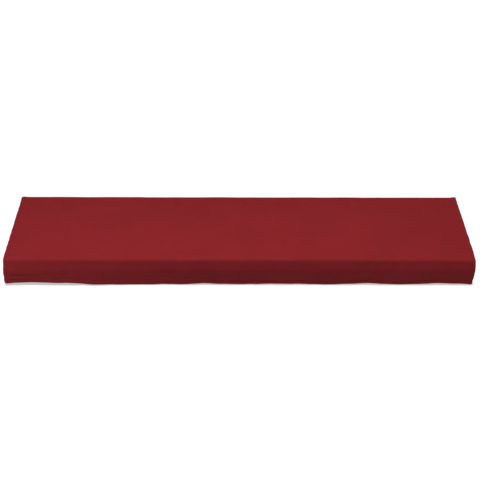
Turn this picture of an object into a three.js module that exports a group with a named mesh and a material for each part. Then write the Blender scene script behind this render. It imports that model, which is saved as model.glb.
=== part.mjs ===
// A fitted cloth cover for an 88-key stage piano, open below. One main length of cloth goes over the front,
// the top and the back, and an end panel is sewn into each side of it, with its edge rolled over the corner
// to the seam. The hem of every piece is its own cloth, turned in.
// Millimetres. +X runs along the keys, +Y to the back, +Z up. The origin is the middle of the top's
// underside, where the instrument's case bears.
import * as THREE from 'three';

// Over all
const LENGTH = 1292;          // outside, over the two end panels
const DEPTH = 340;            // outside, from the front fold to the back fold
const CLOTH = 2;              // thickness of the cloth
const CROWN = 1.7;            // how far the middle of the top stands above its edges
const FOLD_LEVEL = CLOTH - CROWN;

// Edges
const FRONT_ROLL = 9.5;       // outer radius of the soft fold along the front
const BACK_ROLL = 7;          // outer radius of the fold along the back
const END_ROLL = 3.8;         // outer radius where an end panel turns in to its seam
const SEAM_GAP = 0.3;         // between the edges that are sewn together
const SEAM = LENGTH / 2 - END_ROLL;

// Hem: the cloth turned in, so it is nearly twice as thick, with a softened lower edge
const HEM_CLOTH = 3.4;
const HEM_DEPTH = 17;
const HEM_STEP = 1.5;         // height over which the turned-in cloth ends
const HEM_EDGE = 1.4;         // height of the softened edge
const HEM_NIP = 0.9;          // how much the softened edge is drawn in, each side

// Front drop: it leans out down to a soft bend, hangs straight, and is drawn in towards the hem
const FRONT_BEND = 31;        // depth of the bend below the fold's level
const FRONT_LEAN = 1.9;
const BACK_LEAN = 0.8;
const TUCK_START = 55;        // depth at which a drop starts to be drawn in
const TUCK_END = 82;
const TUCK = 2.5;

// How far each drop reaches below the fold's level, along its hem
const FRONT_HEM = [
  { x: -641, drop: 80.2 },
  { x: -610, drop: 78.4 },
  { x: -540, drop: 78.2 },
  { x: -475, drop: 79.5 },
  { x: -395, drop: 84.3 },
  { x: -290, drop: 85.5 },
  { x: -150, drop: 85.1 },
  { x: -92, drop: 83.5 },
  { x: -35, drop: 85.3 },
  { x: 120, drop: 85.0 },
  { x: 235, drop: 86.2 },
  { x: 357, drop: 83.4 },
  { x: 430, drop: 85.5 },
  { x: 560, drop: 83.5 },
  { x: 612, drop: 83.8 },
  { x: 641, drop: 85.4 },
];
const BACK_HEM = [
  { x: -641, drop: 82.6 },
  { x: -560, drop: 83.8 },
  { x: -380, drop: 85.2 },
  { x: -210, drop: 83.4 },
  { x: -40, drop: 85.0 },
  { x: 150, drop: 83.6 },
  { x: 330, drop: 85.3 },
  { x: 520, drop: 83.2 },
  { x: 641, drop: 84.4 },
];
// How much the end panels' hems hang below a straight line between their corners
const END_HEM_SAG = [
  { y: -170, sag: 0 },
  { y: -60, sag: 1.4 },
  { y: 50, sag: -0.8 },
  { y: 170, sag: 0 },
];

// How far the end panels stand out, by depth below the fold's level
const LEFT_END_OUT = [
  { depth: 0, out: 0 },
  { depth: 20, out: 1 },
  { depth: 50, out: 3.4 },
  { depth: 70, out: 3.0 },
  { depth: 84, out: 1.6 },
];
const RIGHT_END_OUT = [
  { depth: 0, out: 0 },
  { depth: 45, out: 0.6 },
  { depth: 84, out: 0.1 },
];
const END_OUT_REACH = 90;     // length of the main piece that follows its end outwards

// The middle of an end panel lies in from its edges, which stand out over the seams' turned-in cloth
const END_DISH = 1.3;
const DISH_FADE = { side: 38, top: 26 };
const DISH_AT_HEM = 0.4;      // share of it that is left at the hem

// Soft swellings and hollows of the top. u runs along the feature, turned by the angle from +X
const TOP_RELIEF = [
  { x: -170, y: 98, long: 82, wide: 13, turn: 17, height: -1.9 },     // soft crease, left of centre
  { x: -176, y: 122, long: 76, wide: 14, turn: 16, height: 1.2 },     // ridge pushed up behind it
  { x: -160, y: 70, long: 70, wide: 17, turn: 14, height: 0.8 },      // and in front of it
  { x: -156, y: 4, long: 62, wide: 26, turn: 4, height: 0.8 },
  { x: -153, y: -128, long: 58, wide: 22, turn: -3, height: 0.6 },
  { x: -585, y: 112, long: 74, wide: 42, turn: -12, height: -1.6 },   // slack in the back corners
  { x: 590, y: 108, long: 66, wide: 46, turn: 14, height: -1.5 },
  { x: -400, y: 60, long: 120, wide: 34, turn: 6, height: 0.7 },
  { x: 330, y: 24, long: 150, wide: 36, turn: -7, height: 0.6 },
  { x: 340, y: 138, long: 70, wide: 12, turn: -5, height: -0.7 },
  { x: 60, y: -118, long: 80, wide: 24, turn: 3, height: 0.5 },
  { x: 480, y: -60, long: 110, wide: 40, turn: 10, height: -0.5 },
];
const RELIEF_FADE = { front: 30, back: 22, end: 40 };   // how near the folds and end seams it dies away
const CREST_FRONT = -92;      // the top is level between these lines, and falls from them to the folds
const CREST_BACK = 20;
const END_CROWN = 0.35;       // share of the crown that is left at the end seams
const CROWN_FADE = 120;       // length over which it fades towards them

// The stiff ends of the seams stand up at the back corners, and hang a little at the front corners
const EARS = [
  { x: -SEAM, rise: 1.3, reach: 26 },
  { x: SEAM, rise: 1.0, reach: 24 },
];
const FRONT_CORNER_FALL = 1.5;
const FRONT_CORNER_REACH = 60;
const CORNER_START = 110;     // distance from the middle line at which the corners' own shape begins
const CORNER_FULL = 160;

// Soft upright folds of the drops, strongest at the hem
const FRONT_FOLDS = [
  { x: -560, wide: 62, out: -1.2 },
  { x: -398, wide: 48, out: 1.8 },
  { x: -250, wide: 70, out: -0.6 },
  { x: -92, wide: 40, out: -1.3 },
  { x: 40, wide: 60, out: 0.7 },
  { x: 235, wide: 58, out: 1.1 },
  { x: 357, wide: 42, out: -1.5 },
  { x: 452, wide: 44, out: 0.8 },
  { x: 560, wide: 46, out: -1.0 },
];
const BACK_FOLDS = [
  { x: -540, wide: 70, out: 1.2 },
  { x: -380, wide: 60, out: -1.1 },
  { x: -210, wide: 55, out: 1.4 },
  { x: -30, wide: 75, out: -0.9 },
  { x: 150, wide: 60, out: 1.3 },
  { x: 330, wide: 55, out: -1.2 },
  { x: 500, wide: 65, out: 1.0 },
];
const FOLD_START = 22;        // depth at which an upright fold begins
const FOLD_FULL = 80;
const FOLD_FADE = 40;         // distance either side of an end seam over which they fade

// Steps of the surfaces
const LENGTH_STEPS = 42;      // along the main piece, between the finer steps at its ends
const FINE_ENDS = [0, 11, 24];
const TOP_STEPS = 15;
const ROLL_STEPS = 4;         // round an end panel's edge, and round half a long fold
const ABOVE_HEM = [0, HEM_EDGE, HEM_DEPTH / 2, HEM_DEPTH, HEM_DEPTH + HEM_STEP];
const UP_THE_DROP = [47, FRONT_BEND + 4, FRONT_BEND - 4];   // depths of a drop's rows above its hem
const DROP_ROWS = ABOVE_HEM.length + UP_THE_DROP.length + 1;

const CLOTH_FINISH = { color: 0x862228, roughness: 0.86, metalness: 0 };

const clamp01 = (value) => Math.min(1, Math.max(0, value));
const mix = (from, to, share) => from + (to - from) * share;
const radians = (degrees) => degrees * Math.PI / 180;

function smooth(share) {
  const s = clamp01(share);
  return s * s * (3 - 2 * s);
}

// A straight slope from 0 to 1 with a softened start
const SLOPE_START = 0.3;
function slope(share) {
  const s = clamp01(share);
  const climbed = s < SLOPE_START ? s * s / (2 * SLOPE_START) : s - SLOPE_START / 2;
  return climbed / (1 - SLOPE_START / 2);
}

// A smooth rise and fall, 1 at the middle and 0 from one reach away
function swell(distance, reach) {
  return 1 - smooth(Math.abs(distance) / reach);
}

// A table's value between its rows, eased from row to row
function along(table, key, value, at) {
  const last = table[table.length - 1];
  if (at <= table[0][key]) return table[0][value];
  if (at >= last[key]) return last[value];
  const upper = table.findIndex((row) => row[key] > at);
  const [a, b] = [table[upper - 1], table[upper]];
  return mix(a[value], b[value], smooth((at - a[key]) / (b[key] - a[key])));
}

// Height of the top's relief over its crown
function relief(x, y) {
  let height = 0;
  for (const row of TOP_RELIEF) {
    const [c, s] = [Math.cos(radians(row.turn)), Math.sin(radians(row.turn))];
    const u = (x - row.x) * c + (y - row.y) * s;
    const v = (y - row.y) * c - (x - row.x) * s;
    height += row.height * Math.exp(-((u / row.long) ** 2) - (v / row.wide) ** 2);
  }
  return height;
}

// How much of the relief is left: none at the folds and the end seams, all of it well inside them
function inside(x, y) {
  const fromFront = (y - topRowY(0)) / RELIEF_FADE.front;
  const fromBack = (topRowY(TOP_STEPS) - y) / RELIEF_FADE.back;
  const fromEnd = (SEAM - Math.abs(x)) / RELIEF_FADE.end;
  return smooth(fromFront) * smooth(fromBack) * smooth(fromEnd);
}

function crown(x, y) {
  const fallen = y < 0 ? slope((CREST_FRONT - y) / (CREST_FRONT - topRowY(0)))
    : slope((y - CREST_BACK) / (topRowY(TOP_STEPS) - CREST_BACK));
  return CROWN * (1 - fallen) * mix(END_CROWN, 1, smooth((SEAM - Math.abs(x)) / CROWN_FADE));
}

function cornerShape(x, y) {
  const near = smooth((Math.abs(y) - CORNER_START) / (CORNER_FULL - CORNER_START));
  if (y < 0) return -FRONT_CORNER_FALL * near * swell(SEAM - Math.abs(x), FRONT_CORNER_REACH);
  return EARS.reduce((height, ear) => height + ear.rise * near * swell(x - ear.x, ear.reach), 0);
}

// How far the top stands above the fold's level. Its middle is exactly one crown above it
const MIDDLE = relief(0, 0);
function topRise(x, y) {
  return crown(x, y) + (relief(x, y) - MIDDLE) * inside(x, y) + cornerShape(x, y);
}

function folds(table, x, depth) {
  let out = 0;
  for (const row of table) out += row.out * swell(x - row.x, row.wide);
  const fade = smooth((SEAM + FOLD_FADE - Math.abs(x)) / (2 * FOLD_FADE));
  return out * fade * smooth((depth - FOLD_START) / (FOLD_FULL - FOLD_START));
}

function tuck(depth) {
  return TUCK * smooth((depth - TUCK_START) / (TUCK_END - TUCK_START));
}

function frontOut(x, depth) {
  const lean = FRONT_LEAN * clamp01((depth - FRONT_ROLL) / (FRONT_BEND - FRONT_ROLL));
  return lean - tuck(depth) + folds(FRONT_FOLDS, x, depth);
}

function backOut(x, depth) {
  const lean = BACK_LEAN * smooth((depth - BACK_ROLL) / (FRONT_BEND - BACK_ROLL));
  return lean - tuck(depth) + folds(BACK_FOLDS, x, depth);
}

// How far out the end of the cover stands at a depth; side is -1 on the left and 1 on the right
function endOut(side, depth) {
  return side * along(side < 0 ? LEFT_END_OUT : RIGHT_END_OUT, 'depth', 'out', depth);
}

function dish(y, depth) {
  const edges = smooth((DEPTH / 2 - Math.abs(y)) / DISH_FADE.side) * smooth(depth / DISH_FADE.top);
  const low = smooth((depth - TUCK_START) / (TUCK_END - TUCK_START));
  return END_DISH * edges * mix(1, DISH_AT_HEM, low);
}

// Depth below the fold's level of a drop's row, counted from the hem up to the start of the long fold
function rowDepth(row, drop, roll) {
  if (row < ABOVE_HEM.length) return drop - ABOVE_HEM[row];
  return row === DROP_ROWS - 1 ? roll : UP_THE_DROP[row - ABOVE_HEM.length];
}

const hemNip = (row) => (row === 0 ? HEM_NIP : 0);
function thickness(row) {
  if (row === 0) return HEM_CLOTH - 2 * HEM_NIP;
  return row < ABOVE_HEM.length - 1 ? HEM_CLOTH : CLOTH;
}

// Rows round the profile, from the front hem over the top to the back hem
function profileRows() {
  const rows = [];
  for (let i = 0; i < DROP_ROWS; i++) rows.push({ zone: 'front', row: i });
  for (let i = 1; i < 2 * ROLL_STEPS; i++) rows.push({ zone: 'frontRoll', share: i / (2 * ROLL_STEPS) });
  for (let i = 0; i <= TOP_STEPS; i++) rows.push({ zone: 'top', y: topRowY(i) });
  for (let i = 1; i < 2 * ROLL_STEPS; i++) rows.push({ zone: 'backRoll', share: 1 - i / (2 * ROLL_STEPS) });
  for (let i = DROP_ROWS - 1; i >= 0; i--) rows.push({ zone: 'back', row: i });
  return rows;
}

function topRowY(step) {
  return mix(-DEPTH / 2 + FRONT_ROLL, DEPTH / 2 - BACK_ROLL, step / TOP_STEPS);
}

// How far the cloth of a long fold stands off its arc, between the drop's own lean and the top's rise
function rollOff(x, share, front) {
  const roll = front ? FRONT_ROLL : BACK_ROLL;
  const drop = front ? frontOut(x, roll) : backOut(x, roll);
  const top = topRise(x, front ? topRowY(0) : topRowY(TOP_STEPS));
  return mix(drop, top, share);
}

// A point of the main piece's outer face: place, outward direction, thickness and depth
function profilePoint(x, { zone, row, share, y }) {
  if (zone === 'top') {
    return { y, z: FOLD_LEVEL + topRise(x, y), ny: 0, nz: 1, thick: CLOTH };
  }
  const front = zone === 'front' || zone === 'frontRoll';
  const towards = front ? -1 : 1;
  const roll = front ? FRONT_ROLL : BACK_ROLL;
  if (share !== undefined) {
    const angle = share * Math.PI / 2;
    const radius = roll + rollOff(x, share, front);
    const [ny, nz] = [towards * Math.cos(angle), Math.sin(angle)];
    const middle = towards * (DEPTH / 2 - roll);
    return { y: middle + radius * ny, z: FOLD_LEVEL - roll + radius * nz, ny, nz, thick: CLOTH };
  }
  const drop = along(front ? FRONT_HEM : BACK_HEM, 'x', 'drop', x);
  const depth = rowDepth(row, drop, roll);
  const out = (front ? frontOut(x, depth) : backOut(x, depth)) - hemNip(row);
  return { y: towards * (DEPTH / 2 + out), z: FOLD_LEVEL - depth, ny: towards, nz: 0, thick: thickness(row) };
}

// Stations along the main piece, with finer steps at the ends
function stations() {
  const end = SEAM - SEAM_GAP / 2;
  const inner = end - FINE_ENDS[FINE_ENDS.length - 1];
  const xs = FINE_ENDS.slice(0, -1).map((step) => -end + step);
  for (let i = 0; i <= LENGTH_STEPS; i++) xs.push(mix(-inner, inner, i / LENGTH_STEPS));
  return xs.concat(FINE_ENDS.slice(0, -1).reverse().map((step) => end - step));
}

function mainColumn(x) {
  const side = Math.sign(x);
  const follow = smooth(1 - (SEAM - Math.abs(x)) / END_OUT_REACH);
  return profileRows().map((place) => {
    const p = profilePoint(x, place);
    const shift = follow * endOut(side, FOLD_LEVEL - p.z);
    return {
      at: new THREE.Vector3(x + shift, p.y, p.z),
      facing: new THREE.Vector3(0, p.ny, p.nz),
      thick: p.thick,
    };
  });
}

// Step k of an end panel's edge: how far it has gone from the corner's middle towards the seam, and how far
// it has turned. Step 0 is the middle, step 1 the start of the roll and the last step the seam
function edgeStep(k, roll) {
  if (k === 0) return { reach: 0, back: 0, turned: 0 };
  const turned = Math.PI / 2 * (k - 1) / (ROLL_STEPS - 1);
  const reach = roll - END_ROLL + END_ROLL * Math.sin(turned);
  return { reach, back: END_ROLL * (1 - Math.cos(turned)), turned };
}

// Direction, from 0 level to 1 straight up, of a corner's place that is p steps out and q steps up
function cornerShare(p, q) {
  if (p === 0) return 1;
  return p >= q ? 0.5 * q / p : 1 - 0.5 * p / q;
}

// How far the main piece stands off the plain profile where an end panel meets it
function seamOff(x, { p, q, up, front, y, depth }) {
  if (p === 0 && q === 0) return 0;
  if (p === 0) return topRise(x, y);
  if (q === 0) return front ? frontOut(x, depth) : backOut(x, depth);
  return rollOff(x, up, front);
}

// The end panel's grid of places. Across it come the front's rolled edge, the flat and the back's rolled
// edge; up it the drop's rows and the top's rolled edge. p and q count the steps into a rolled edge
function gridPlace(side, column, row) {
  const p = Math.max(0, ROLL_STEPS - column, column - ROLL_STEPS - TOP_STEPS);
  const q = Math.max(0, row - (DROP_ROWS - 1));
  const across = Math.min(TOP_STEPS, Math.max(0, column - ROLL_STEPS));
  const share = across / TOP_STEPS;
  const y = topRowY(across);
  const hems = [along(FRONT_HEM, 'x', 'drop', side * SEAM), along(BACK_HEM, 'x', 'drop', side * SEAM)];
  const drop = mix(hems[0], hems[1], share) + along(END_HEM_SAG, 'y', 'sag', y);
  const roll = mix(FRONT_ROLL, BACK_ROLL, share);
  const depth = rowDepth(Math.min(row, DROP_ROWS - 1), drop, roll);
  return { p, q, y, roll, depth, front: column < ROLL_STEPS, up: cornerShare(p, q) };
}

function endPlace(side, column, row) {
  const place = gridPlace(side, column, row);
  const { p, q, y, roll, depth, front, up } = place;
  const ring = Math.max(p, q);
  const edge = edgeStep(ring, roll);
  const ny = p === 0 ? 0 : (front ? -1 : 1) * Math.cos(up * Math.PI / 2);
  const nz = q === 0 ? 0 : Math.sin(up * Math.PI / 2);
  const reach = edge.reach + ring / ROLL_STEPS * seamOff(side * SEAM, place);
  const z = FOLD_LEVEL - depth + nz * reach;
  const gap = ring === ROLL_STEPS ? SEAM_GAP / 2 : 0;
  const [level, turned] = [Math.cos(edge.turned), Math.sin(edge.turned)];
  const facing = new THREE.Vector3(side * level, ny * turned, nz * turned);
  const at = new THREE.Vector3(side * (SEAM + END_ROLL - edge.back + gap), y + ny * reach, z);
  at.x += endOut(side, FOLD_LEVEL - z) - side * dish(at.y, FOLD_LEVEL - z);
  at.addScaledVector(facing, q === 0 ? -hemNip(row) : 0);
  return { at, facing, thick: q === 0 ? thickness(row) : CLOTH };
}

function endColumns(side) {
  const columns = [];
  for (let c = 0; c <= 2 * ROLL_STEPS + TOP_STEPS; c++) {
    const column = [];
    for (let r = 0; r < DROP_ROWS + ROLL_STEPS; r++) column.push(endPlace(side, c, r));
    columns.push(column);
  }
  return side < 0 ? columns.reverse() : columns;
}

// A sheet of cloth as one closed body: the outer face, the inner face one thickness behind it, and the edge
function sheet(name, columns) {
  const [across, up] = [columns.length, columns[0].length];
  const positions = [];
  for (const inward of [0, 1]) {
    for (const column of columns) {
      for (const place of column) {
        const point = place.at.clone().addScaledVector(place.facing, -inward * place.thick);
        positions.push(point.x, point.y, point.z);
      }
    }
  }
  const outer = (c, r) => c * up + r;
  const inner = (c, r) => across * up + c * up + r;
  const index = [];
  const quad = (a, b, c, d) => index.push(a, b, c, a, c, d);
  for (let c = 0; c < across - 1; c++) {
    for (let r = 0; r < up - 1; r++) {
      quad(outer(c, r), outer(c + 1, r), outer(c + 1, r + 1), outer(c, r + 1));
      quad(inner(c, r), inner(c, r + 1), inner(c + 1, r + 1), inner(c + 1, r));
    }
  }
  for (let c = 0; c < across - 1; c++) {
    quad(outer(c, 0), inner(c, 0), inner(c + 1, 0), outer(c + 1, 0));
    quad(outer(c, up - 1), outer(c + 1, up - 1), inner(c + 1, up - 1), inner(c, up - 1));
  }
  for (let r = 0; r < up - 1; r++) {
    quad(outer(0, r), outer(0, r + 1), inner(0, r + 1), inner(0, r));
    quad(outer(across - 1, r), inner(across - 1, r), inner(across - 1, r + 1), outer(across - 1, r + 1));
  }
  const geometry = new THREE.BufferGeometry();
  geometry.setAttribute('position', new THREE.Float32BufferAttribute(positions, 3));
  geometry.setIndex(index);
  geometry.computeVertexNormals();
  const mesh = new THREE.Mesh(geometry, new THREE.MeshStandardMaterial(CLOTH_FINISH));
  mesh.name = name;
  return mesh;
}

const cover = new THREE.Group();
cover.add(sheet('main_panel', stations().map(mainColumn)));
cover.add(sheet('end_panel_left', endColumns(-1)));
cover.add(sheet('end_panel_right', endColumns(1)));

export default cover;
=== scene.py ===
"""Visual model of a fitted cloth cover for an 88-key stage piano, on the frame of its CAD model.

One length of cloth runs over the front, the top and the back, and an end panel is sewn into each side of
it. The hem of every piece is its own cloth, turned in twice and stitched. Lengths in the tables and
functions are millimetres, as in the CAD, and the meshes are made in metres. A place on the long piece is
given by x and by a row of its profile, which runs from the front hem's raw edge, over the top, to the back
hem's raw edge.
"""

import math
from types import SimpleNamespace

import bpy
import numpy as np
from mathutils import Matrix, Vector


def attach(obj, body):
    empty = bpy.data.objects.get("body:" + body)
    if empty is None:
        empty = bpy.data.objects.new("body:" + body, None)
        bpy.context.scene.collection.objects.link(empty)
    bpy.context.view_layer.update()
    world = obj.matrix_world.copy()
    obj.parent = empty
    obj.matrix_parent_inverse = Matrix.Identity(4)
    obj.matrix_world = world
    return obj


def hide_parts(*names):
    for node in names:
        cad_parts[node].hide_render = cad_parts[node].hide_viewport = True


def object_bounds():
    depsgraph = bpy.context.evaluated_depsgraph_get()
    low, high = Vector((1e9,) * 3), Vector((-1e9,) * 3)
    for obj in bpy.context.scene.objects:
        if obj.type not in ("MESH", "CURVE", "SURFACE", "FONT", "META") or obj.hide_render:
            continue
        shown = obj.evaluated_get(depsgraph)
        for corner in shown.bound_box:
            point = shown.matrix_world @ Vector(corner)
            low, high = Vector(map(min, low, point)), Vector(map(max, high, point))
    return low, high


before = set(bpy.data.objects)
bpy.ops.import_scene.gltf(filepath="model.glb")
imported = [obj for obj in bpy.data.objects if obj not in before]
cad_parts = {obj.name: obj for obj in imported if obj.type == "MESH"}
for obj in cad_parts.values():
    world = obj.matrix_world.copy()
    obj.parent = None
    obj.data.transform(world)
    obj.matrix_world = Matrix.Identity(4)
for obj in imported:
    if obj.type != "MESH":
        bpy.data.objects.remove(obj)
cad_low, cad_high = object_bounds()

MM = 0.001

# ---------------- sizes of the form

# The form is the CAD's, but for a rounder front fold, a deeper tuck of the drops and finer creases

LENGTH = 1292          # outside, over the end panels
DEPTH = 340            # outside, from the front fold to the back fold
CROWN = 1.7            # how far the middle of the top stands above its edges
FOLD_LEVEL = 0.3       # height of the long folds' upper edges
FRONT_ROLL = 12        # outer radius of the fold along the front
BACK_ROLL = 7
END_ROLL = 3.8         # from the end's face to the seam
SEAM = LENGTH / 2 - END_ROLL

FRONT_BEND = 35        # the front drop leans out down to this depth
FRONT_LEAN = 3.7
BACK_LEAN = 0.8
TUCK_START, TUCK_END = 36, 82      # depths between which the drops are drawn in towards the hem

# How far each drop reaches below the fold's level, along its hem
FRONT_HEM = {
    "x": (-641, -610, -540, -475, -395, -290, -150, -92, -35, 120, 235, 357, 430, 560, 612, 641),
    "drop": (
        80.2, 78.4, 78.2, 79.5, 84.3, 85.5, 85.1, 83.5, 85.3, 85.0, 86.2, 83.4, 85.5, 83.5, 83.8, 85.4,
    ),
}
BACK_HEM = {
    "x": (-641, -560, -380, -210, -40, 150, 330, 520, 641),
    "drop": (82.6, 83.8, 85.2, 83.4, 85.0, 83.6, 85.3, 83.2, 84.4),
}
# How much an end panel's hem hangs below a straight line between its corners
END_HEM_SAG = {"y": (-170, -60, 50, 170), "sag": (0, 1.4, -0.8, 0)}
# How far each drop is drawn in at its hem, and each end stands out by its depth
FRONT_TUCK = {"x": (-641, -430, -200, 60, 641), "in": (0.8, 1.6, 5.0, 6.8, 6.6)}
BACK_TUCK = {"x": (-641, 641), "in": (2.8, 2.8)}
END_OUT = {
    -1: {"depth": (0, 20, 50, 70, 84), "out": (0, 1, 3.4, 3.0, 1.6)},
    1: {"depth": (0, 15, 35, 55, 84), "out": (0, 1.6, 3.0, 1.7, -0.6)},
}
END_OUT_REACH = 90     # length of the long piece that follows its end outwards
END_DISH = 1.3         # how far the middle of an end panel lies in from its edges
DISH_SIDE, DISH_TOP, DISH_AT_HEM = 38, 26, 0.4

# Soft swellings and hollows of the top: x, y, long, wide, turn in degrees, height
TOP_RELIEF = (
    (-146, 76, 40, 14, 14, -3.0),       # the crease left of the centre
    (-200, 112, 50, 12, 36, 2.2),       # pushed up behind it
    (-118, 94, 24, 13, 30, 1.4),        # and at its right end
    (-104, 34, 34, 15, -38, -1.4),      # where it runs out to the front
    (-240, 152, 80, 15, -3, -2.6),      # slack at the back fold beside it
    (-156, 4, 62, 26, 4, 0.8),
    (-153, -128, 58, 22, -3, 0.6),
    (-585, 112, 74, 42, -12, -1.6),     # slack in the back corners
    (590, 108, 66, 46, 14, -1.5),
    (-400, 60, 120, 34, 6, 0.7),
    (330, 24, 150, 36, -7, 0.6),
    (340, 138, 70, 12, -5, -0.7),
    (60, -118, 80, 24, 3, 0.5),
    (480, -60, 110, 40, 10, -0.5),
)
RELIEF_FADE_FRONT, RELIEF_FADE_BACK, RELIEF_FADE_END = 30, 22, 40
CREST_FRONT, CREST_BACK = -92, 20
END_CROWN, CROWN_FADE = 0.35, 120
SLOPE_START = 0.3
EARS = ((-SEAM, 1.3, 26), (SEAM, 1.0, 24))    # x, rise, reach: the seams' stiff ends at the back corners
FRONT_CORNER_FALL, FRONT_CORNER_REACH = 1.5, 60
CORNER_START, CORNER_FULL = 110, 160

# Upright folds of the drops: x, wide, out
FRONT_FOLDS = (
    (-560, 62, -1.2), (-398, 48, 1.8), (-250, 70, -0.6), (-92, 40, -1.3), (40, 60, 0.7),
    (235, 58, 1.1), (357, 42, -1.5), (452, 44, 0.8), (560, 46, -1.0),
)
BACK_FOLDS = (
    (-540, 70, 1.2), (-380, 60, -1.1), (-210, 55, 1.4), (-30, 75, -0.9), (150, 60, 1.3),
    (330, 55, -1.2), (500, 65, 1.0),
)
FOLD_START, FOLD_FULL, FOLD_FADE = 22, 80, 40

# Level creases low on the front drop, by its left end: x, depth, long, wide, out
FRONT_CREASES = (
    (-604, 42, 56, 5, 1.3),
    (-602, 51, 60, 4.5, -1.8),
    (-606, 58, 54, 4, 1.3),
    (-610, 66, 50, 3.5, -0.6),
)
CREASE_FROM_SEAM = 15

# ---------------- sizes of the sewing

CLOTH = 0.85           # real thickness of the cloth
PLY_GAP = 0.1          # between layers that lie on each other
SEAM_TURN = 1.2        # outer radius where an edge turns down into the seam
SEAM_GAP = 0.05        # from the seam's middle to each of its edges
END_ARC = END_ROLL - SEAM_TURN
HEM_EDGE = 1.4         # outer radius of the hem's lower edge
HEM_TOP = 17           # height of the turned-in cloth over the hem's edge
RAW_EDGE = 8           # height at which the cloth turned in a second time ends
STITCH_HEIGHT = 14.5
STITCH, STITCH_GAP, THREAD = 2.6, 0.5, 0.34
ALLOWANCE = 9          # width of the cloth turned in at a seam
ALLOWANCE_START = 0.4  # distance from the seam at which the long piece's own one starts
ALLOWANCE_SHORT = 0.5  # how much narrower the end panel's one is
ALLOWANCE_LIFT = 0.5   # how far they push the long piece up beside the seam
LIFT_FULL, LIFT_FADE = 6, 5
OVERLOCK_PITCH, OVERLOCK_BITE, OVERLOCK_THREAD = 2.2, 2.6, 0.3
OVERLOCK_CLEAR = 0.12  # off the two cloths
OVERLOCK_OUT = 1.03    # as a share of the bite, so a little past their edges

# Rows and columns of the meshes. Every sheet has an odd count both ways, as its inner face has half of them
TOP_STEP = 3.85
LENGTH_STEP = 3.2
END_STEP = 2.5
ROLL_STEPS = 10
DROP_STEPS = 12
UPPER_TURN, LOWER_TURN = 5, 7      # rows round the inner layer's top fold and round the hem's lower edge
HEM_MIDDLE = 8.5                   # height of the one row between those two turns
HEM_ROWS = (2.8, 5, 7.5, 10, 12, 13.4, STITCH_HEIGHT, 15.6, 17, 18.6, 21)
FIRST_ABOVE_HEM = 18.6             # the first of them above the hem's layers
EDGE_FINE = (1.6, 3.4, 5.4, 7.6, 10)     # distances from the turned edge of the finer stations
TURN_STEPS = 4
FLAT_STEPS = 4         # of an end panel's edge: before its arc
ARC_STEPS = 8          # and round its arc
ALLOWANCE_COLUMNS = 5


def smooth(share):
    s = np.clip(share, 0, 1)
    return s * s * (3 - 2 * s)


def slope(share):
    """A straight slope from 0 to 1 with a softened start."""
    s = np.clip(share, 0, 1)
    climbed = np.where(s < SLOPE_START, s * s / (2 * SLOPE_START), s - SLOPE_START / 2)
    return climbed / (1 - SLOPE_START / 2)


def swell(distance, reach):
    return 1 - smooth(np.abs(distance) / reach)


def bell(distance, width):
    return np.exp(-((distance / width) ** 2))


def mix(a, b, share):
    return a + (b - a) * share


def along(table, at):
    """A table's second column at places along its first, eased from row to row."""
    keys, values = (np.array(column, float) for column in table.values())
    at = np.clip(at, keys[0], keys[-1])
    k = np.clip(np.searchsorted(keys, at, side="right") - 1, 0, len(keys) - 2)
    return mix(values[k], values[k + 1], smooth((at - keys[k]) / (keys[k + 1] - keys[k])))


LINE_DRAWS, SURFACE_DRAWS = 1024, 256      # of noise, centred on the middle of the cover


def ripple(seed, at, spacing):
    """Smooth seeded noise along a line, from -1 to 1, one draw each spacing."""
    draws = np.random.default_rng(seed).uniform(-1, 1, LINE_DRAWS)
    place = np.asarray(at, float) / spacing + LINE_DRAWS // 2
    k = np.floor(place).astype(int)
    return mix(draws[k], draws[k + 1], smooth(place - k))


def mottle(seed, u, v, spacing_u, spacing_v):
    """Smooth seeded noise over a surface, from -1 to 1."""
    draws = np.random.default_rng(seed).uniform(-1, 1, (SURFACE_DRAWS, SURFACE_DRAWS))
    middle = SURFACE_DRAWS // 2
    pu, pv = np.broadcast_arrays(u / spacing_u + middle, v / spacing_v + middle)
    i, j = np.floor(pu).astype(int), np.floor(pv).astype(int)
    su, sv = smooth(pu - i), smooth(pv - j)
    return mix(mix(draws[i, j], draws[i + 1, j], su), mix(draws[i, j + 1], draws[i + 1, j + 1], su), sv)


# ---------------- the cover's form

TOP_FRONT, TOP_BACK = -DEPTH / 2 + FRONT_ROLL, DEPTH / 2 - BACK_ROLL
TOP_STEPS = 2 * round((TOP_BACK - TOP_FRONT) / TOP_STEP / 2)


def relief(x, y):
    height = 0
    for x0, y0, long, wide, turn, rise in TOP_RELIEF:
        c, s = math.cos(math.radians(turn)), math.sin(math.radians(turn))
        u, v = (x - x0) * c + (y - y0) * s, (y - y0) * c - (x - x0) * s
        height = height + rise * bell(u, long) * bell(v, wide)
    return height


def inside(x, y):
    """How much of the relief is left: none at the folds and the seams, all of it well inside them."""
    from_front = smooth((y - TOP_FRONT) / RELIEF_FADE_FRONT)
    from_back = smooth((TOP_BACK - y) / RELIEF_FADE_BACK)
    return from_front * from_back * smooth((SEAM - np.abs(x)) / RELIEF_FADE_END)


def crown(x, y):
    to_front = slope((CREST_FRONT - y) / (CREST_FRONT - TOP_FRONT))
    to_back = slope((y - CREST_BACK) / (TOP_BACK - CREST_BACK))
    fallen = np.where(np.asarray(y) < 0, to_front, to_back)
    return CROWN * (1 - fallen) * mix(END_CROWN, 1, smooth((SEAM - np.abs(x)) / CROWN_FADE))


def corner_shape(x, y):
    near = smooth((np.abs(y) - CORNER_START) / (CORNER_FULL - CORNER_START))
    fall = -FRONT_CORNER_FALL * swell(SEAM - np.abs(x), FRONT_CORNER_REACH)
    rise = sum(height * swell(x - at, reach) for at, height, reach in EARS)
    return near * np.where(np.asarray(y) < 0, fall, rise)


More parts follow.
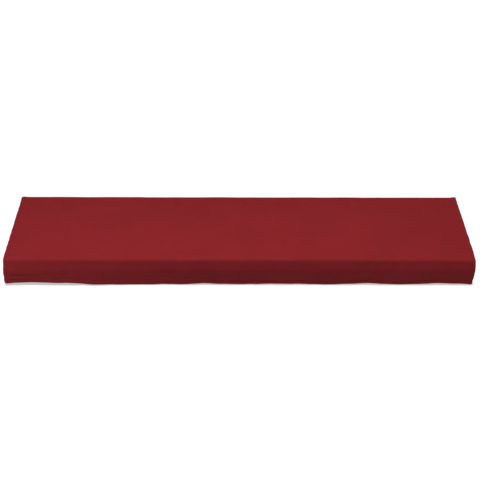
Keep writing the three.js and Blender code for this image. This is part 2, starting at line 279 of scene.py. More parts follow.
def top_rise(x, y):
    """How far the top stands above the fold's level."""
    return crown(x, y) + (relief(x, y) - relief(0, 0)) * inside(x, y) + corner_shape(x, y)


def folds(table, x, depth):
    out = sum(stands * swell(x - at, wide) for at, wide, stands in table)
    fade = smooth((SEAM + FOLD_FADE - np.abs(x)) / (2 * FOLD_FADE))
    return out * fade * smooth((depth - FOLD_START) / (FOLD_FULL - FOLD_START))


def tuck(table, x, depth):
    return along(table, x) * slope((depth - TUCK_START) / (TUCK_END - TUCK_START))


def front_out(x, depth):
    lean = FRONT_LEAN * np.clip((depth - FRONT_ROLL) / (FRONT_BEND - FRONT_ROLL), 0, 1)
    return lean - tuck(FRONT_TUCK, x, depth) + folds(FRONT_FOLDS, x, depth)


def back_out(x, depth):
    lean = BACK_LEAN * smooth((depth - BACK_ROLL) / (FRONT_BEND - BACK_ROLL))
    return lean - tuck(BACK_TUCK, x, depth) + folds(BACK_FOLDS, x, depth)


def end_out(side, depth):
    return side * along(END_OUT[side], depth)


def dish(y, depth):
    edges = smooth((DEPTH / 2 - np.abs(y)) / DISH_SIDE) * smooth(depth / DISH_TOP)
    low = smooth((depth - TUCK_START) / (TUCK_END - TUCK_START))
    return END_DISH * edges * mix(1, DISH_AT_HEM, low)


# Which way the front and the back look along y, the radius of their fold, their drop's form and their hem
FRONT = SimpleNamespace(towards=-1, roll=FRONT_ROLL, out=front_out, hem=FRONT_HEM)
BACK = SimpleNamespace(towards=1, roll=BACK_ROLL, out=back_out, hem=BACK_HEM)


def roll_off(x, share, face):
    """How far the cloth of a long fold stands off its arc, between the drop's lean and the top's rise."""
    return mix(face.out(x, face.roll), top_rise(x, face.towards * (DEPTH / 2 - face.roll)), share)


def bent_length(roll):
    """From the middle of the top, over the cloth, to the lower end of a long fold."""
    return DEPTH / 2 - roll + roll * math.pi / 2


# ---------------- the cloth's fine unevenness

SEEDS = {
    "seam": 11, "hem": 23, "hem_wave": 31, "drop": 47, "uneven": 61, "fine": 67, "end": 71, "drag": 83,
}
# Gathers along the end seams, short ones and longer ones: added seed, height, spacing, reach
PUCKERS = ((0, 0.525, 7.5, 20), (5, 0.375, 22.5, 48))
# Upright waves of the drops: height, spacing, and the depths where they start and are full
DROP_WAVES = ((0.7, 27, 22, 70), (0.3, 13, 45, 75))
WAVES_FROM_SEAM = 25
# Slack of the long piece: seed, height, spacing along x and along the profile
SLACK = (("uneven", 0.34, 64, 44), ("fine", 0.13, 27, 19))
SLACK_FROM_SEAM = 30
END_SLACK = (0.5, 38, 27)      # of an end panel: height, spacing along y and up

HEM_FULLNESS = {"height": (0, 3, 10, 14.5), "out": (0, 0.7, 0.7, 0)}
HEM_LINES = ((STITCH_HEIGHT, -0.40, 1.5), (HEM_TOP, 0.20, 1.5))      # height over the edge, out, width
HEM_PUCKER, HEM_PUCKER_SPACING, HEM_PUCKER_REACH = 0.36, 6.5, 7
HEM_ROPE, HEM_ROPE_SPACING, HEM_ROPE_LEAN = 0.30, 8, 0.8      # the hem's slanting twist under its stitches
HEM_ROPE_HEIGHT, HEM_ROPE_REACH = 8, 5.5
HEM_WAVE, HEM_WAVE_SPACING = 0.6, 34

# Creases that fan out from the top's corners: height, angle between them, and where they start and fade
DRAG, DRAG_ANGLE, DRAG_START, DRAG_REACH = 0.45, 0.17, 22, 75
DRAG_FROM_FOLD = 4


def seam_pucker(side, s, distance):
    """The gathers along a seam. s is the place along it, and distance how far from it on the cloth."""
    out = 0
    for added, height, spacing, reach in PUCKERS:
        out = out + height * ripple(SEEDS["seam"] + side + added, s, spacing) * swell(distance, reach)
    return out


def hem_form(at, height, seed):
    """How the turned-in cloth and its stitches shape the outer face above the hem's edge."""
    full = along(HEM_FULLNESS, height)
    line = sum(out * bell(height - level, width) for level, out, width in HEM_LINES)
    gather = ripple(seed, at, HEM_PUCKER_SPACING) * bell(height - STITCH_HEIGHT, HEM_PUCKER_REACH)
    rope = ripple(seed + 7, at + HEM_ROPE_LEAN * height, HEM_ROPE_SPACING)
    rope = rope * bell(height - HEM_ROPE_HEIGHT, HEM_ROPE_REACH)
    return full + line + HEM_PUCKER * gather + HEM_ROPE * rope


def hem_drop(x, face):
    """How far the hem of the front or the back hangs below the fold's level at each x."""
    return along(face.hem, x) + HEM_WAVE * ripple(SEEDS["hem_wave"] + face.towards, x, HEM_WAVE_SPACING)


def drop_waves(at, depth, seed):
    """The upright waves of a drop's slack, at places along its hem."""
    out = 0
    for k, (height, spacing, start, full) in enumerate(DROP_WAVES):
        out = out + height * ripple(seed + k, at, spacing) * smooth((depth - start) / (full - start))
    return out


def creases(x, depth):
    """The level creases low on the front drop."""
    out = 0
    for at, deep, long, wide, stands in FRONT_CREASES:
        out = out + stands * bell(x - at, long) * bell(depth - deep, wide)
    return out * smooth((SEAM - np.abs(x)) / CREASE_FROM_SEAM)


def unevenness(x, s):
    """Slack of the long piece, everywhere but at the seams."""
    slack = sum(height * mottle(SEEDS[seed], x, s, wide, long) for seed, height, wide, long in SLACK)
    return slack * smooth((SEAM - np.abs(x)) / SLACK_FROM_SEAM)


def drag(x, y):
    """Faint creases that fan out over the top from its four corners."""
    from_end = SEAM - np.abs(x)
    from_fold = DEPTH / 2 - DRAG_FROM_FOLD - np.abs(y)
    distance, angle = np.hypot(from_end, from_fold), np.arctan2(from_fold, from_end)
    corner = np.where(x < 0, 0, 1) + np.where(y < 0, 0, 2)
    fan = sum(ripple(SEEDS["drag"] + k, angle, DRAG_ANGLE) * (corner == k) for k in range(4))
    return DRAG * fan * smooth(distance / DRAG_START) * bell(distance, DRAG_REACH)


# ---------------- profiles

def turned_in():
    """Places across the hem's turned-in layers, from the raw edge to the lower edge's outer side.

    out is measured from the cloth's outer face and height from the hem's edge. lip is how much of the
    seam's turn a layer has, because the layers inside go straight on to the seam.
    """
    second = CLOTH + PLY_GAP
    inner = 2 * HEM_EDGE
    middle, radius = -(second + inner) / 2, (inner - second) / 2
    upper = np.linspace(0, math.pi, UPPER_TURN)
    lower = np.linspace(math.pi, 2 * math.pi, LOWER_TURN)
    out = [[-second], middle + radius * np.cos(upper), [-inner], -HEM_EDGE + HEM_EDGE * np.cos(lower)]
    top, edge = HEM_TOP - radius + radius * np.sin(upper), HEM_EDGE + HEM_EDGE * np.sin(lower)
    height = [[RAW_EDGE], top, [HEM_MIDDLE], edge]
    lip = [np.zeros(UPPER_TURN + 2), (1 + np.cos(lower)) / 2]
    return np.concatenate(out), np.concatenate(height), np.concatenate(lip)


TURNED_OUT, TURNED_HEIGHT, TURNED_LIP = turned_in()
TURNED = len(TURNED_OUT)
ROW_OUT = np.concatenate([TURNED_OUT, np.zeros(len(HEM_ROWS) + DROP_STEPS)])
ROW_LIP = np.concatenate([TURNED_LIP, np.ones(len(HEM_ROWS) + DROP_STEPS)])
DROP_ROWS = len(ROW_OUT)
STITCHED_OUTSIDE = TURNED + HEM_ROWS.index(STITCH_HEIGHT)
STITCHED_INSIDE = UPPER_TURN       # the inner layer's row under its top fold


def row_heights(drop, roll):
    """Heights over the hem's edge of a drop's rows, from the raw edge up to the start of the long fold."""
    low = np.concatenate([TURNED_HEIGHT, HEM_ROWS])
    share = np.arange(1, DROP_STEPS + 1) / DROP_STEPS
    low = np.broadcast_to(low, drop.shape + low.shape)
    high = mix(HEM_ROWS[-1], (drop - roll)[..., None], share)
    return np.concatenate([low, high], axis=-1)


def drop_profile(at, depth, height, face):
    """Places and directions off the profile of a drop's rows."""
    from_seam = smooth((SEAM - np.abs(at)) / WAVES_FROM_SEAM)
    waves = drop_waves(at, depth, SEEDS["drop"] + face.towards) * from_seam
    stands = face.out(at, depth) + ROW_OUT + waves + hem_form(at, height, SEEDS["hem"] + face.towards)
    if face is FRONT:
        stands = stands + creases(at, depth)
    places = np.stack([face.towards * (DEPTH / 2 + stands), FOLD_LEVEL - depth], -1)
    directions = np.zeros_like(places)
    directions[..., 0] = face.towards
    return places, directions


def fold_profile(at, share, face):
    """Places and directions off the profile round a long fold, by the share of its quarter turn."""
    radius = (face.roll + roll_off(at, share, face))[..., None]
    directions = np.stack([face.towards * np.cos(share * math.pi / 2), np.sin(share * math.pi / 2)], -1)
    middle = np.array([face.towards * (DEPTH / 2 - face.roll), FOLD_LEVEL - face.roll])
    places = middle + radius * directions
    return places, np.broadcast_to(directions, places.shape)


def side_profile(x, face):
    """The front's or the back's rows of the long piece at each x, in the order of the whole profile.

    They are places, directions off the profile, and lengths over the cloth from the middle of the top,
    negative towards the front.
    """
    drop = hem_drop(x, face)
    height = row_heights(drop, face.roll)
    depth = drop[:, None] - height
    share = np.arange(1, ROLL_STEPS) / ROLL_STEPS
    drop_places, drop_directions = drop_profile(x[:, None], depth, height, face)
    fold_places, fold_directions = fold_profile(x[:, None], share, face)
    places = np.concatenate([drop_places, fold_places], 1)
    directions = np.concatenate([drop_directions, fold_directions], 1)
    bent = bent_length(face.roll)
    on_fold = np.broadcast_to(bent - face.roll * share * math.pi / 2, fold_places.shape[:2])
    s = np.concatenate([bent + depth - face.roll, on_fold], 1)
    if face is FRONT:
        return places, directions, -s
    return places[:, ::-1], directions[:, ::-1], s[:, ::-1]


def end_follow(x, depth):
    """How far the long piece's ends follow their end panels outwards."""
    share = smooth(1 - (SEAM - np.abs(x)) / END_OUT_REACH)
    return share * np.where(x < 0, end_out(-1, depth), end_out(1, depth))


def long_stand(x, s):
    """How far the long piece stands off its profile: over the allowances, in puckers and in its slack."""
    distance = SEAM - np.abs(x)
    lift = ALLOWANCE_LIFT * (1 - smooth((distance - LIFT_FULL) / LIFT_FADE))
    pucker = np.where(x < 0, seam_pucker(-1, s, distance), seam_pucker(1, s, distance))
    return lift + pucker + unevenness(x, s)


def long_profile(stations):
    """Places (x, y, z) of the long piece's outer face and directions off it, for every row at each x."""
    front, front_off, front_s = side_profile(stations, FRONT)
    back, back_off, back_s = side_profile(stations, BACK)
    x = stations[:, None]
    y = np.broadcast_to(np.linspace(TOP_FRONT, TOP_BACK, TOP_STEPS + 1), (len(x), TOP_STEPS + 1))
    top = np.stack([y, FOLD_LEVEL + top_rise(x, y) + drag(x, y)], -1)
    top_off = np.zeros_like(top)
    top_off[..., 1] = 1
    places = np.concatenate([front, top, back], 1)
    directions = np.concatenate([front_off, top_off, back_off], 1)
    s = np.concatenate([front_s, y, back_s], 1)
    places = places + directions * long_stand(x, s)[..., None]
    shift = end_follow(x, FOLD_LEVEL - places[..., 1])
    directions = np.concatenate([np.zeros_like(shift)[..., None], directions], -1)
    return np.concatenate([(x + shift)[..., None], places], -1), directions


ROW_LIPS = np.concatenate([
    ROW_LIP, np.ones(2 * (ROLL_STEPS - 1) + TOP_STEPS + 1), ROW_LIP[::-1],
])


def half_stations():
    """Stations of the long piece from the middle to its right seam, and how far each dips into it."""
    edge = SEAM - SEAM_GAP - SEAM_TURN
    inner = edge - EDGE_FINE[-1]
    steps = round(inner / LENGTH_STEP)
    fine = edge - np.array(EDGE_FINE[-2::-1])
    plain = np.concatenate([inner * np.arange(1, steps + 1) / steps, fine, [edge]])
    turn = np.arange(1, TURN_STEPS + 1) / TURN_STEPS * math.pi / 2
    x = np.concatenate([plain, edge + SEAM_TURN * np.sin(turn)])
    dip = np.concatenate([np.zeros(len(plain)), SEAM_TURN * (1 - np.cos(turn))])
    return x, dip


def long_stations():
    x, dip = half_stations()
    return np.concatenate([-x[::-1], [0], x]), np.concatenate([dip[::-1], [0], dip])


# ---------------- end panels

EDGE_STEPS = FLAT_STEPS + ARC_STEPS + TURN_STEPS


def edge_steps(roll):
    """An end panel's rolled edge, step by step from its flat part to the seam.

    For each step these are its reach towards the profile, how far it has gone back towards the seam, the
    turn of its face, its dip into the seam, and its distance from the seam over the cloth.
    """
    k = np.arange(EDGE_STEPS + 1)
    turned = np.clip((k - FLAT_STEPS) / ARC_STEPS, 0, 1) * math.pi / 2
    dipped = np.clip((k - FLAT_STEPS - ARC_STEPS) / TURN_STEPS, 0, 1) * math.pi / 2
    flat = np.clip(k / FLAT_STEPS, 0, 1) * (roll - END_ARC)
    reach = flat + END_ARC * np.sin(turned)
    back = END_ARC * (1 - np.cos(turned)) + (SEAM_TURN - SEAM_GAP) * np.sin(dipped)
    dip = SEAM_TURN * (1 - np.cos(dipped))
    from_seam = roll - END_ARC - flat + END_ARC * (math.pi / 2 - turned)
    return reach, back, turned, dip, from_seam


class EndGrid:
    """The grid of an end panel: columns from front to back, and rows from the raw edge up to the seam.

    beside and above count the steps into its rolled edges, at the front or the back and on top, and ring is
    the larger of them. Where ring is 0 the panel is flat.
    """

    def __init__(self, side):
        self.side = side
        flat_steps = 2 * round((TOP_BACK - TOP_FRONT) / END_STEP / 2)
        columns = np.arange(2 * EDGE_STEPS + flat_steps + 1)[:, None]
        rows = np.arange(DROP_ROWS + EDGE_STEPS)[None, :]
        outside = np.maximum(EDGE_STEPS - columns, columns - EDGE_STEPS - flat_steps)
        self.beside = np.maximum(0, outside) + 0 * rows
        self.above = np.maximum(0, rows - (DROP_ROWS - 1)) + 0 * columns
        self.ring = np.maximum(self.beside, self.above)
        self.front = columns < EDGE_STEPS
        self.towards = np.where(self.front, -1, 1)
        across = np.clip(columns - EDGE_STEPS, 0, flat_steps) / flat_steps
        self.y = mix(TOP_FRONT, TOP_BACK, across)
        self.roll = mix(FRONT_ROLL, BACK_ROLL, across)
        self.height, self.depth = self.heights(across[:, 0])
        self.reach, self.back, self.turned, self.dip, self.from_seam = self.edges()
        self.up, self.out_y, self.out_z = self.directions()

    def heights(self, across):
        """Of every point, over the hem's edge and below the fold's level."""
        seam = np.array([self.side * SEAM])
        drop = mix(hem_drop(seam, FRONT)[0], hem_drop(seam, BACK)[0], across)
        drop = drop + along(END_HEM_SAG, self.y[:, 0])
        height = row_heights(drop, self.roll[:, 0])
        height = np.concatenate([height, np.repeat(height[:, -1:], EDGE_STEPS, 1)], 1)
        return height, drop[:, None] - height

    def edges(self):
        """The rolled edge's values, for each point by its ring."""
        steps = [np.stack(parts) for parts in zip(*(edge_steps(roll) for roll in self.roll[:, 0]))]
        return [np.take_along_axis(part, self.ring, 1) for part in steps]

    def directions(self):
        """The share of the turn from the drop up to the top, and the way towards the profile there."""
        low = 0.5 * self.above / np.maximum(self.beside, 1)
        high = 1 - 0.5 * self.beside / np.maximum(self.above, 1)
        up = np.where(self.beside == 0, 1, np.where(self.beside >= self.above, low, high))
        out_y = np.where(self.beside == 0, 0, self.towards * np.cos(up * math.pi / 2))
        out_z = np.where(self.above == 0, 0, np.sin(up * math.pi / 2))
        return up, out_y, out_z

    def pick(self, flat, top, drop, corner):
        """Values for the panel's four parts: flat, edge on top, upright edges and corners."""
        between_folds = np.where(self.above == 0, flat, top)
        at_folds = np.where(self.above == 0, drop, corner)
        return np.where(self.beside == 0, between_folds, at_folds)

    def far(self):
        """How far each point lies from the flat part, so that the edges meet the long piece's profile."""
        x = self.side * SEAM
        corner = np.where(self.front, roll_off(x, self.up, FRONT), roll_off(x, self.up, BACK))
        drop = np.where(self.front, front_out(x, self.depth), back_out(x, self.depth))
        off = self.pick(0, top_rise(x, self.y), drop, corner) * np.clip(self.reach / self.roll, 0, 1)
        lip = np.concatenate([ROW_LIP, np.ones(EDGE_STEPS)])
        return self.reach + off - self.dip * lip

    def seam_places(self):
        """For each point, its place along the seam and how far from the seam it is, both over the cloth."""
        bent = np.where(self.front, bent_length(FRONT_ROLL), bent_length(BACK_ROLL))
        on_drop = bent + self.depth - self.roll
        on_fold = bent - self.roll * self.up * math.pi / 2
        to_side = np.minimum(self.y - TOP_FRONT, TOP_BACK - self.y)
        to_top = self.depth - self.roll
        nearest = np.where(to_top < to_side, self.y, np.sign(self.y) * on_drop)
        s = self.pick(nearest, self.y, self.towards * on_drop, self.towards * on_fold)
        return s, self.from_seam + np.where(self.ring == 0, np.minimum(to_side, to_top), 0)

    def lifted(self, y):
        """How far the panel's face stands off its form: in puckers, slack and waves, and at its hem."""
        s, distance = self.seam_places()
        height, spacing_y, spacing_up = END_SLACK
        slack = height * mottle(SEEDS["end"] + self.side, y, self.depth, spacing_y, spacing_up)
        waves = drop_waves(y, self.depth, SEEDS["end"] + 4 * self.side)
        girth = self.y + self.out_y * self.reach
        stitched = hem_form(girth, self.height, SEEDS["hem"] + 3 * self.side) * (self.above == 0)
        slack = slack * smooth(distance / SLACK_FROM_SEAM) + waves * smooth(distance / WAVES_FROM_SEAM)
        layers = np.concatenate([ROW_OUT, np.zeros(EDGE_STEPS)])
        return seam_pucker(self.side, s, distance) + slack + stitched + layers


def end_panel(side):
    """Places of an end panel's outer face, by column and row."""
    grid = EndGrid(side)
    far = grid.far()
    y = grid.y + grid.out_y * far
    depth = grid.depth - grid.out_z * far
    x = side * (SEAM + END_ROLL - grid.back) + end_out(side, depth) - side * dish(y, depth)
    level = np.sin(grid.turned)
    facing = np.stack([side * np.cos(grid.turned), grid.out_y * level, grid.out_z * level], -1)
    places = np.stack([x, y, FOLD_LEVEL - depth], -1) + facing * grid.lifted(y)[..., None]
    return places if side > 0 else places[::-1]


# ---------------- meshes

TINY = 1e-9
SHARP_ANGLE = 60       # edges that turn by more degrees aren't shaded smooth


def unit(vectors):
    return vectors / np.maximum(np.linalg.norm(vectors, axis=-1, keepdims=True), TINY)


def grid_normals(places):
    return unit(np.cross(np.gradient(places, axis=0), np.gradient(places, axis=1)))


def from_middle(places, axis):
    """Distance over the surface along an axis of a grid, from its middle line."""
    steps = np.linalg.norm(np.diff(places, axis=axis), axis=-1)
    total = np.cumsum(np.insert(steps, 0, 0, axis=axis), axis=axis)
    return total - np.take(total, [places.shape[axis] // 2], axis=axis)


def both_faces(outer, inner):
    """The values of a sheet's outer grid, and then those of its inner grid."""
    return np.concatenate([grid.reshape(-1, *grid.shape[2:]) for grid in (outer, inner)])


def put_in(name, data):
    """A new object in the scene."""
    made = bpy.data.objects.new(name, data)
    bpy.context.scene.collection.objects.link(made)
    return made


class Body:
    """Closed surfaces gathered into one mesh, with where each point lies on its flat cloth."""

    def __init__(self):
        self.points, self.faces, self.weave, self.rubbed, self.count = [], [], [], [], 0

    def add(self, points, faces, weave=(0, 0), rubbed=0):
        points = points.reshape(-1, 3)
        self.points.append(points)
        self.faces.extend(tuple(int(i) + self.count for i in face) for face in faces)
        self.weave.append(np.broadcast_to(weave, (len(points), 2)))
        self.rubbed.append(np.broadcast_to(rubbed, len(points)))
        self.count += len(points)

    def add_sheet(self, places, thick, rubbed=0):
        """A sheet: its outer face at the places, its inner face with half of their rows and columns."""
        normals = grid_normals(places)
        under = places[::2, ::2] - thick * normals[::2, ::2]
        weave = np.stack([from_middle(places, 0), from_middle(places, 1)], -1)
        rubbed = np.broadcast_to(rubbed, places.shape[:2])
        self.add(
            both_faces(places, under),
            sheet_faces(*places.shape[:2]),
            both_faces(weave, weave[::2, ::2]),
            both_faces(rubbed, rubbed[::2, ::2]),
        )
        return normals

    def make(self, name, material):
        mesh = bpy.data.meshes.new(name)
        mesh.from_pydata((np.concatenate(self.points) * MM).tolist(), [], self.faces)
        mesh.polygons.foreach_set("use_smooth", np.ones(len(mesh.polygons), bool))
        weave = mesh.attributes.new("weave", "FLOAT_VECTOR", "POINT")
        flat = np.concatenate(self.weave)
        weave.data.foreach_set("vector", np.column_stack([flat, np.zeros(len(flat))]).ravel())
        rubbed = mesh.attributes.new("rubbed", "FLOAT", "POINT")
        rubbed.data.foreach_set("value", np.concatenate(self.rubbed))
        mesh.set_sharp_from_angle(angle=math.radians(SHARP_ANGLE))
        mesh.materials.append(material)
        return put_in(name, mesh)


def rim(outer, inner, forward):
    """Faces that join an edge of the outer grid to the inner grid's edge, which has half of its points."""
    faces = []
    for k in range(len(inner) - 1):
        a, b, c = outer[2 * k:2 * k + 3]
        i, j = inner[k:k + 2]
        faces += [(a, b, j, i), (b, c, j)] if forward else [(a, i, j, b), (b, j, c)]
    return faces


def grid_faces(index, flip):
    quads = np.stack([index[:-1, :-1], index[1:, :-1], index[1:, 1:], index[:-1, 1:]], -1).reshape(-1, 4)
    return (quads[:, ::-1] if flip else quads).tolist()


def sheet_faces(columns, rows):
    if columns % 2 == 0 or rows % 2 == 0:
        raise ValueError(f"a sheet has odd numbers of columns and rows, not {columns} and {rows}")
    outer = np.arange(columns * rows).reshape(columns, rows)
    inner = columns * rows + np.arange((columns // 2 + 1) * (rows // 2 + 1)).reshape(columns // 2 + 1, -1)
    faces = grid_faces(outer, False) + grid_faces(inner, True)
    faces += rim(outer[:, 0], inner[:, 0], False) + rim(outer[:, -1], inner[:, -1], True)
    faces += rim(outer[0], inner[0], True) + rim(outer[-1], inner[-1], False)
    return faces


def resample(line, step, *others):
    """Points evenly spaced along a line, and other values of its points there."""
    reached = np.concatenate([[0], np.cumsum(np.linalg.norm(np.diff(line, axis=0), axis=1))])
    count = max(2, int(reached[-1] / step))
    at = (np.arange(count) + 0.5) * reached[-1] / count
    return [np.stack([np.interp(at, reached, values[:, k]) for k in range(values.shape[1])], 1)
            for values in (line, *others)]


STITCH_SIDES = 6
STITCH_RINGS = ((-1, 0.25), (-0.8, 0.8), (0, 1), (0.8, 0.8), (1, 0.25))     # place along it, width
STITCH_STANDS, STITCH_DIVES = 0.28, 0.5      # in threads, off the cloth at its middle and down at its ends


def tube_faces(rings, sides):
    """Faces of a tube closed at both ends, by the numbers of its points, which run ring after ring."""
    last = sides * (rings - 1)
    faces = []
    for low in range(0, last, sides):
        for a in range(sides):
            b = (a + 1) % sides
            faces.append((low + a, low + b, low + sides + b, low + sides + a))
    faces.append(tuple(range(sides))[::-1])
    faces.append(tuple(range(last, last + sides)))
    return faces


def add_stitches(body, line, normals):
    """Thread that shows between the needle holes along a line on the cloth."""
    places, facing = resample(line, STITCH + STITCH_GAP, normals)
    facing = unit(facing)
    forward = unit(np.gradient(places, axis=0))
    across = unit(np.cross(facing, forward))
    angles = np.arange(STITCH_SIDES) / STITCH_SIDES * 2 * math.pi
    rings = []
    for share, wide in STITCH_RINGS:
        middle = places + forward * (share * STITCH / 2)
        middle = middle + facing * (THREAD * (STITCH_STANDS - STITCH_DIVES * share**4))
        for angle in angles:
            round_it = across * math.cos(angle) + facing * math.sin(angle)
            rings.append(middle + round_it * (wide * THREAD / 2))
    faces = tube_faces(len(STITCH_RINGS), STITCH_SIDES)
    starts = range(0, len(places) * len(rings), len(rings))
    body.add(np.stack(rings, 1), [tuple(start + i for i in face) for start in starts for face in faces])


TUBE_SIDES = 5
SLANTING = np.array([0.31, 0.52, 0.8])      # a direction that no thread runs in


def add_thread(body, line, radius):
    """A round thread along a line of points."""
    forward = unit(np.gradient(line, axis=0))
    side = unit(np.cross(forward, SLANTING))
    other = np.cross(forward, side)
    angles = np.arange(TUBE_SIDES) / TUBE_SIDES * 2 * math.pi
    rings = np.stack([line + radius * (side * math.cos(a) + other * math.sin(a)) for a in angles], 1)
    body.add(rings, tube_faces(len(line), TUBE_SIDES))


# ---------------- pieces

STACK = 2 * CLOTH + 2 * PLY_GAP      # of the long piece and its own allowance, over the end panel's
WORN_EDGE, WORN_FOLD = 2.5, 0.4      # height of the wear over a hem's edge, and its strength on the folds
WORN_FROM_SEAM = 6
WORN_RING, WORN_RINGS = 6, 4         # steps from an end panel's edges to its wear, and how many it covers


def worn_hem(rows_above):
    """Wear of a piece's rows along its hem's lower edge, and none on the rows above the hem."""
    return np.concatenate([bell(np.concatenate([TURNED_HEIGHT, HEM_ROWS]), WORN_EDGE), np.zeros(rows_above)])


def worn_rows():
    """Wear of the long piece by row: on the hems' lower edges and the folds."""
    edge = worn_hem(DROP_STEPS)
    fold = WORN_FOLD * np.sin(np.arange(1, ROLL_STEPS) / ROLL_STEPS * math.pi)
    return np.concatenate([edge, fold, np.zeros(TOP_STEPS + 1), fold, edge[::-1]])


def seam_rows():
    """The long piece's rows over which a seam's allowance runs, between the tops of the two hems."""
    first = TURNED + HEM_ROWS.index(FIRST_ABOVE_HEM)
    return slice(first, len(ROW_LIPS) - first)


def allowance(side, depth, from_edge, to_edge):
    """A strip of cloth under the long piece beside a seam, from its free edge to the seam."""
    x = side * (SEAM - np.linspace(from_edge, to_edge, ALLOWANCE_COLUMNS))
    if side < 0:
        x = x[::-1]
    places, off = long_profile(x)
    return (places - depth * off)[:, seam_rows()]


def add_hem_stitches(body, places, normals):
    """The stitches on the outer face and on the turned-in layer of the hem that starts a grid's columns."""
    keep = slice(TURN_STEPS, len(places) - TURN_STEPS)
    upper, lower = TURNED_HEIGHT[STITCHED_INSIDE], TURNED_HEIGHT[STITCHED_INSIDE + 1]
    share = (upper - STITCH_HEIGHT) / (upper - lower)
    inside = mix(places[keep, STITCHED_INSIDE], places[keep, STITCHED_INSIDE + 1], share)
    add_stitches(body, places[keep, STITCHED_OUTSIDE], normals[keep, STITCHED_OUTSIDE])
    add_stitches(body, inside, normals[keep, STITCHED_INSIDE])


def long_piece(material, thread):
    x, dip = long_stations()
    places, off = long_profile(x)
    places = places - off * (dip[:, None] * ROW_LIPS)[..., None]
    body = Body()
    rubbed = worn_rows()[None, :] * smooth((SEAM - np.abs(x)) / WORN_FROM_SEAM)[:, None]
    normals = body.add_sheet(places, CLOTH, rubbed)
    stitches = Body()
    add_hem_stitches(stitches, places, normals)
    add_hem_stitches(stitches, places[:, ::-1], normals[:, ::-1])
    for side in (-1, 1):
        body.add_sheet(allowance(side, CLOTH + PLY_GAP / 2, ALLOWANCE, ALLOWANCE_START), CLOTH)
    return body.make("main_panel_cloth", material), stitches.make("main_panel_stitches", thread)


def end_piece(side, word, material, thread):
    places = end_panel(side)
    body = Body()
    columns, rows = places.shape[:2]
    near_top = bell(np.arange(rows) - (rows - WORN_RING), WORN_RINGS)[None, :]
    index = np.arange(columns)
    near_side = bell(np.minimum(index, columns - 1 - index) - WORN_RING, WORN_RINGS)[:, None]
    rubbed = np.maximum(np.maximum(near_top, near_side), worn_hem(DROP_STEPS + EDGE_STEPS)[None, :])
    normals = body.add_sheet(places, CLOTH, rubbed)
    body.add_sheet(allowance(side, STACK, ALLOWANCE - ALLOWANCE_SHORT, -SEAM_TURN), CLOTH)
    stitches = Body()
    add_hem_stitches(stitches, places, normals)
    name = f"end_panel_{word}"
    return body.make(f"{name}_cloth", material), stitches.make(f"{name}_stitches", thread)


def overlock(side, word, thread):
    """The thread looped over the free edges of a seam's two allowances."""
    x = side * (SEAM - np.array([ALLOWANCE - OVERLOCK_BITE, ALLOWANCE]))
    places, off = long_profile(x)
    places, off = places[:, seam_rows()], off[:, seam_rows()]
    inner, outer = places[0], places[1]
    inner, outer, off = resample(inner, OVERLOCK_PITCH / 4, outer, off[0])
    over, under = CLOTH + PLY_GAP / 2 - OVERLOCK_CLEAR, STACK + CLOTH + OVERLOCK_CLEAR
    turn = np.arange(len(inner)) % 4
    down = np.choose(turn, [over, (over + under) / 2, under, (over + under) / 2])[:, None]
    out = np.choose(turn, [0.0, OVERLOCK_OUT, 0.0, OVERLOCK_OUT])[:, None]
    body = Body()
    add_thread(body, mix(inner, outer, out) - off * down, OVERLOCK_THREAD / 2)
    return body.make(f"seam_overlock_{word}", thread)


# ---------------- materials

class Graph:
    """Short calls for building a material's nodes."""

    def __init__(self, name):
        self.material = bpy.data.materials.new(name)
        self.material.use_nodes = True
        self.nodes, self.links = self.material.node_tree.nodes, self.material.node_tree.links
        self.shader = self.nodes["Principled BSDF"]
        self.solid = self.add("ShaderNodeTexCoord").outputs["Object"]

    def add(self, kind, **settings):
        node = self.nodes.new(kind)
        for key, value in settings.items():
            setattr(node, key, value)
        return node

    def put(self, value, socket):
        if isinstance(value, bpy.types.NodeSocket):
            self.links.new(value, socket)
        else:
            socket.default_value = value

    def math(self, operation, *values, clamp=False):
        node = self.add("ShaderNodeMath", operation=operation, use_clamp=clamp)
        for value, socket in zip(values, node.inputs):
            self.put(value, socket)
        return node.outputs[0]

    def noise(self, scale, detail=2.0, roughness=0.5, vector=None):
        node = self.add("ShaderNodeTexNoise")
        self.put(vector or self.solid, node.inputs["Vector"])
        for key, value in (("Scale", scale), ("Detail", detail), ("Roughness", roughness)):
            node.inputs[key].default_value = value
        return node.outputs["Fac"]

    def scaled(self, vector, factors):
        node = self.add("ShaderNodeVectorMath", operation="MULTIPLY")
        self.put(vector, node.inputs[0])
        node.inputs[1].default_value = factors
        return node.outputs[0]

    def colour_mix(self, share, a, b):
        node = self.add("ShaderNodeMix", data_type="RGBA")
        self.put(share, node.inputs["Factor"])
        self.put(a, node.inputs["A"])
        self.put(b, node.inputs["B"])
        return node.outputs["Result"]

    def weighed(self, *pairs):
        """The sum of values, each of them times its weight."""
        total = 0.0
        for value, weight in pairs:
            total = self.math("MULTIPLY_ADD", value, weight, total)
        return total

    def bump(self, height, strength, distance, normal=None):
        node = self.add("ShaderNodeBump")
        node.inputs["Strength"].default_value = strength
        node.inputs["Distance"].default_value = distance
        self.put(height, node.inputs["Height"])
        if normal is not None:
            self.put(normal, node.inputs["Normal"])
        return node.outputs["Normal"]

    def surface(self, values):
        """The finished material, with its shader's inputs set by name."""
        for key, value in values.items():
            self.put(value, self.shader.inputs[key])
        return self.material


